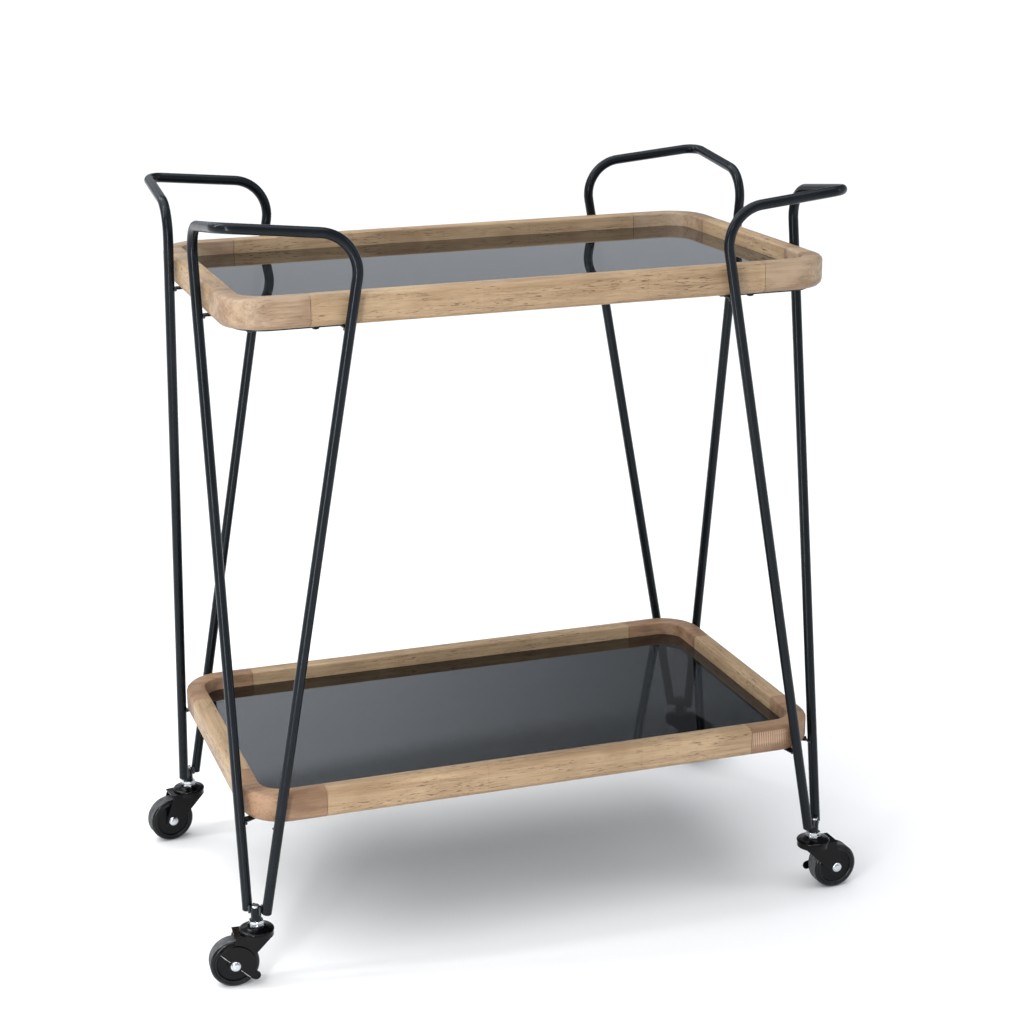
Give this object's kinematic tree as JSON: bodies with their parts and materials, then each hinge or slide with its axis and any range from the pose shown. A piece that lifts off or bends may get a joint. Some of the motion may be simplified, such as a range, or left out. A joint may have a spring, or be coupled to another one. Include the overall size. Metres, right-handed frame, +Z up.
{
  "type": "bar cart",
  "caption": "Rolling bar cart: two wood-framed smoked glass trays held at the corners by bent black bars that rise into handles, on swivel casters.",
  "frame": {"origin": "on the floor under the middle of the cart", "axes": "+X along the long side, +Y across the cart towards the back, +Z up"},
  "size_m": [0.6892, 0.3827, 0.7381],
  "materials": {
    "rail_wood": "satin oiled, golden tan with dark flecked pores",
    "corner_wood": "satin oiled, a little redder than the rails",
    "smoked_glass": "smoked grey, polished",
    "black_steel": "satin black powder coat",
    "gloss_black_steel": "gloss black paint",
    "black_plastic": "black, with a grey tread band",
    "zinc": "bright zinc plate"
  },
  "bodies": {
    "cart": {"upper_rail_front": "rail_wood", "upper_rail_back": "rail_wood", "upper_rail_right": "rail_wood", "upper_rail_left": "rail_wood", "upper_corner_front_left": "corner_wood", "upper_corner_front_right": "corner_wood", "upper_corner_back_left": "corner_wood", "upper_corner_back_right": "corner_wood", "upper_glass": "smoked_glass", "upper_plate_front_left": "black_steel", "upper_plate_front_right": "black_steel", "upper_plate_back_left": "black_steel", "upper_plate_back_right": "black_steel", "lower_rail_front": "rail_wood", "lower_rail_back": "rail_wood", "lower_rail_right": "rail_wood", "lower_rail_left": "rail_wood", "lower_corner_front_left": "corner_wood", "lower_corner_front_right": "corner_wood", "lower_corner_back_left": "corner_wood", "lower_corner_back_right": "corner_wood", "lower_glass": "smoked_glass", "lower_plate_front_left": "black_steel", "lower_plate_front_right": "black_steel", "lower_plate_back_left": "black_steel", "lower_plate_back_right": "black_steel", "frame_front_left": "black_steel", "sleeve_front_left": "black_steel", "caster_front_left_stem": "zinc", "caster_front_left_jam_nut": "zinc", "caster_front_left_race": "gloss_black_steel", "frame_front_right": "black_steel", "sleeve_front_right": "black_steel", "caster_front_right_stem": "zinc", "caster_front_right_jam_nut": "zinc", "caster_front_right_race": "gloss_black_steel", "frame_back_left": "black_steel", "sleeve_back_left": "black_steel", "caster_back_left_stem": "zinc", "caster_back_left_jam_nut": "zinc", "caster_back_left_race": "gloss_black_steel", "frame_back_right": "black_steel", "sleeve_back_right": "black_steel", "caster_back_right_stem": "zinc", "caster_back_right_jam_nut": "zinc", "caster_back_right_race": "gloss_black_steel"},
    "front_left_fork": {"caster_front_left_fork": "gloss_black_steel", "caster_front_left_axle": "zinc"},
    "front_left_wheel": {"caster_front_left_wheel": "black_plastic"},
    "front_left_brake": {"caster_front_left_brake": "gloss_black_steel"},
    "front_right_fork": {"caster_front_right_fork": "gloss_black_steel", "caster_front_right_axle": "zinc"},
    "front_right_wheel": {"caster_front_right_wheel": "black_plastic"},
    "front_right_brake": {"caster_front_right_brake": "gloss_black_steel"},
    "back_left_fork": {"caster_back_left_fork": "gloss_black_steel", "caster_back_left_axle": "zinc"},
    "back_left_wheel": {"caster_back_left_wheel": "black_plastic"},
    "back_right_fork": {"caster_back_right_fork": "gloss_black_steel", "caster_back_right_axle": "zinc"},
    "back_right_wheel": {"caster_back_right_wheel": "black_plastic"}
  },
  "joints": [
    {"name": "front_left_swivel", "type": "hinge", "parent": "cart", "child": "front_left_fork", "pos_m": [-0.297, -0.1743, 0.054], "axis": [0, 0, 1], "continuous": true},
    {"name": "front_left_wheel_spin", "type": "hinge", "parent": "front_left_fork", "child": "front_left_wheel", "pos_m": [-0.32014, -0.17268, 0.024], "axis": [-0.0698, -0.9976, 0], "continuous": true},
    {"name": "front_left_brake_lever", "type": "hinge", "parent": "front_left_fork", "child": "front_left_brake", "pos_m": [-0.32014, -0.17268, 0.024], "axis": [-0.0698, -0.9976, 0], "range_deg": [0, 22]},
    {"name": "front_right_swivel", "type": "hinge", "parent": "cart", "child": "front_right_fork", "pos_m": [0.297, -0.1743, 0.054], "axis": [0, 0, 1], "continuous": true},
    {"name": "front_right_wheel_spin", "type": "hinge", "parent": "front_right_fork", "child": "front_right_wheel", "pos_m": [0.32019, -0.17349, 0.024], "axis": [-0.0349, 0.9994, 0], "continuous": true},
    {"name": "front_right_brake_lever", "type": "hinge", "parent": "front_right_fork", "child": "front_right_brake", "pos_m": [0.32019, -0.17349, 0.024], "axis": [-0.0349, 0.9994, 0], "range_deg": [-22, 0]},
    {"name": "back_left_swivel", "type": "hinge", "parent": "cart", "child": "back_left_fork", "pos_m": [-0.297, 0.1743, 0.054], "axis": [0, 0, 1], "continuous": true},
    {"name": "back_left_wheel_spin", "type": "hinge", "parent": "back_left_fork", "child": "back_left_wheel", "pos_m": [-0.31991, 0.17067, 0.024], "axis": [0.1564, -0.9877, 0], "continuous": true},
    {"name": "back_right_swivel", "type": "hinge", "parent": "cart", "child": "back_right_fork", "pos_m": [0.297, 0.1743, 0.054], "axis": [0, 0, 1], "continuous": true},
    {"name": "back_right_wheel_spin", "type": "hinge", "parent": "back_right_fork", "child": "back_right_wheel", "pos_m": [0.32007, 0.17672, 0.024], "axis": [-0.1045, 0.9945, 0], "continuous": true}
  ]
}
